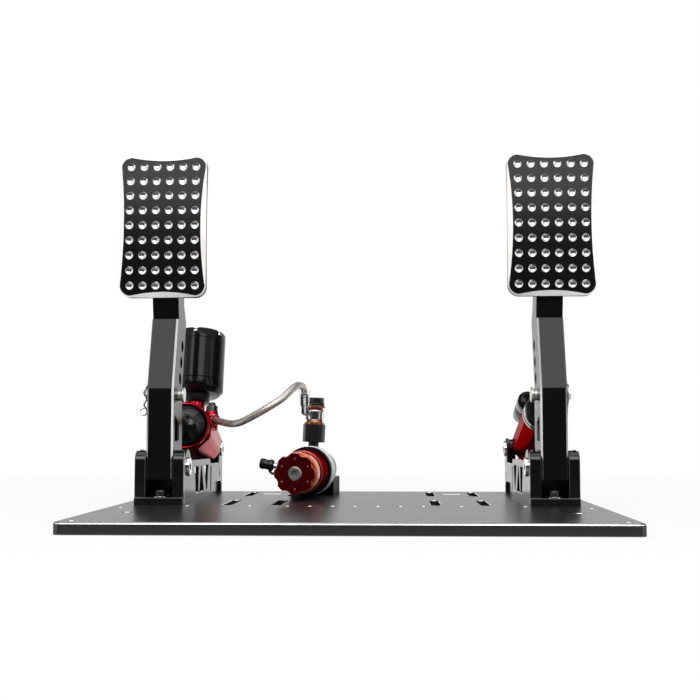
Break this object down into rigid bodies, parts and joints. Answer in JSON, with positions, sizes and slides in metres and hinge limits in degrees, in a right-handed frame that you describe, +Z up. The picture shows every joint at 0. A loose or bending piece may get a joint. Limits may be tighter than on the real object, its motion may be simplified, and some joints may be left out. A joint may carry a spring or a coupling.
{
  "type": "sim racing pedal set",
  "caption": "Sim racing pedal set: hydraulic brake with slave cylinder and damped throttle, dimpled metal pedals on billet arms, bolted to a slotted black base plate",
  "frame": {"origin": "middle of the base plate's underside", "axes": "+X to the driver's right, +Y away from the driver, +Z up"},
  "size_m": [0.404, 0.4, 0.306],
  "materials": {
    "plate_black": "satin black anodised plate with a bright machined chamfer",
    "steel": "bright zinc plated and ground steel",
    "frame_black": "gloss black anodised machined aluminium with bright edges",
    "pedal_face": "black anodised face with bare bright dimples and bevels",
    "bush_bronze": "plain oiled bronze",
    "red_anodised": "deep red anodised aluminium",
    "reservoir_black": "black anodised turned aluminium",
    "bright_metal": "polished plated metal",
    "black_rubber": "smooth black rubber",
    "pale_plastic": "off-white moulded plastic",
    "orange_elastomer": "translucent orange polyurethane",
    "copper": "annealed copper sealing washers",
    "braided_hose": "stainless braid over a plastic liner"
  },
  "bodies": {
    "base": {"base_plate": "plate_black", "mounting_bolts": "steel", "brake_pivot_block": "frame_black", "brake_side_plate_inner": "frame_black", "brake_side_plate_outer": "frame_black", "brake_rear_block": "frame_black", "throttle_pivot_block": "frame_black", "throttle_side_plate_inner": "frame_black", "throttle_side_plate_outer": "frame_black", "throttle_rear_block": "frame_black", "pivot_shafts": "steel", "cap_screws": "steel", "slave_cradle": "frame_black", "slave_housing": "red_anodised", "slave_collar": "frame_black", "slave_pale_ring": "pale_plastic", "slave_rear_housing": "frame_black", "slave_guide_rod": "steel", "elastomer": "orange_elastomer", "bleed_screw": "steel", "bleed_cap": "black_rubber", "hose_union": "frame_black", "banjo_eye": "bright_metal", "banjo_washers": "copper", "banjo_bolt": "frame_black", "brake_hose": "braided_hose"},
    "brake_lever": {"brake_arm": "frame_black", "brake_pedal_plate": "pedal_face", "brake_plate_screws": "steel", "brake_arm_bushes": "bush_bronze", "brake_rod_pin": "steel", "brake_pin_clip": "steel"},
    "throttle_lever": {"throttle_arm": "frame_black", "throttle_pedal_plate": "pedal_face", "throttle_plate_screws": "steel", "throttle_arm_bushes": "bush_bronze", "throttle_rod_pin": "steel", "throttle_pin_clip": "steel"},
    "brake_cylinder": {"master_cylinder": "red_anodised", "master_front_cap": "black_rubber", "reservoir": "reservoir_black", "reservoir_cap": "reservoir_black", "reservoir_screws": "steel", "outlet_bolt": "frame_black", "master_spring": "steel"},
    "brake_rod": {"brake_pushrod": "steel", "brake_rod_nut": "steel", "master_piston": "steel"},
    "throttle_damper": {"damper_tube": "red_anodised", "damper_gland": "frame_black", "damper_rings": "bright_metal", "damper_canister": "reservoir_black", "damper_spring": "steel"},
    "throttle_rod": {"damper_rod": "steel", "damper_rod_nut": "steel", "damper_piston": "steel"},
    "pressure_piston": {"slave_piston": "red_anodised"},
    "knob": {"preload_knob": "red_anodised"}
  },
  "joints": [
    {"name": "brake_pedal", "type": "hinge", "parent": "base", "child": "brake_lever", "pos_m": [-0.164, 0.002, 0.04], "axis": [-1, 0, 0], "range_deg": [0, 10], "stiffness_Nm_per_rad": 60, "springref_deg": -5.73},
    {"name": "throttle_pedal", "type": "hinge", "parent": "base", "child": "throttle_lever", "pos_m": [0.164, 0.002, 0.04], "axis": [-1, 0, 0], "range_deg": [0, 14], "stiffness_Nm_per_rad": 15, "springref_deg": -11.46},
    {"name": "brake_cylinder_swing", "type": "hinge", "parent": "base", "child": "brake_cylinder", "pos_m": [-0.164, 0.187, 0.052], "axis": [-1, 0, 0], "range_deg": [0, 0.5], "deforming": ["brake_hose"]},
    {"name": "brake_rod_slide", "type": "slide", "parent": "brake_cylinder", "child": "brake_rod", "axis": [0, 0.9653, -0.2613], "range_m": [0, 0.0112], "deforming": ["master_spring"]},
    {"name": "throttle_damper_swing", "type": "hinge", "parent": "base", "child": "throttle_damper", "pos_m": [0.164, 0.187, 0.052], "axis": [-1, 0, 0], "range_deg": [0, 0.5]},
    {"name": "throttle_rod_slide", "type": "slide", "parent": "throttle_damper", "child": "throttle_rod", "axis": [0, 0.9653, -0.2613], "range_m": [0, 0.0155], "deforming": ["damper_spring"]},
    {"name": "pressure_piston_slide", "type": "slide", "parent": "base", "child": "pressure_piston", "axis": [-0.0785, -0.9969, 0], "range_m": [0, 0.0042], "deforming": ["elastomer"]},
    {"name": "preload_knob_turn", "type": "hinge", "parent": "base", "child": "knob", "pos_m": [-0.055, 0.03, 0.033], "axis": [0.0785, 0.9969, 0], "continuous": true}
  ],
  "couplings": [
    {"joint": "brake_cylinder_swing", "follows": "brake_pedal", "ratio": 0.043},
    {"joint": "brake_rod_slide", "follows": "brake_pedal", "m_per_rad": 0.0606},
    {"joint": "pressure_piston_slide", "follows": "brake_pedal", "m_per_rad": 0.0229},
    {"joint": "throttle_damper_swing", "follows": "throttle_pedal", "ratio": 0.0325},
    {"joint": "throttle_rod_slide", "follows": "throttle_pedal", "m_per_rad": 0.0608}
  ]
}
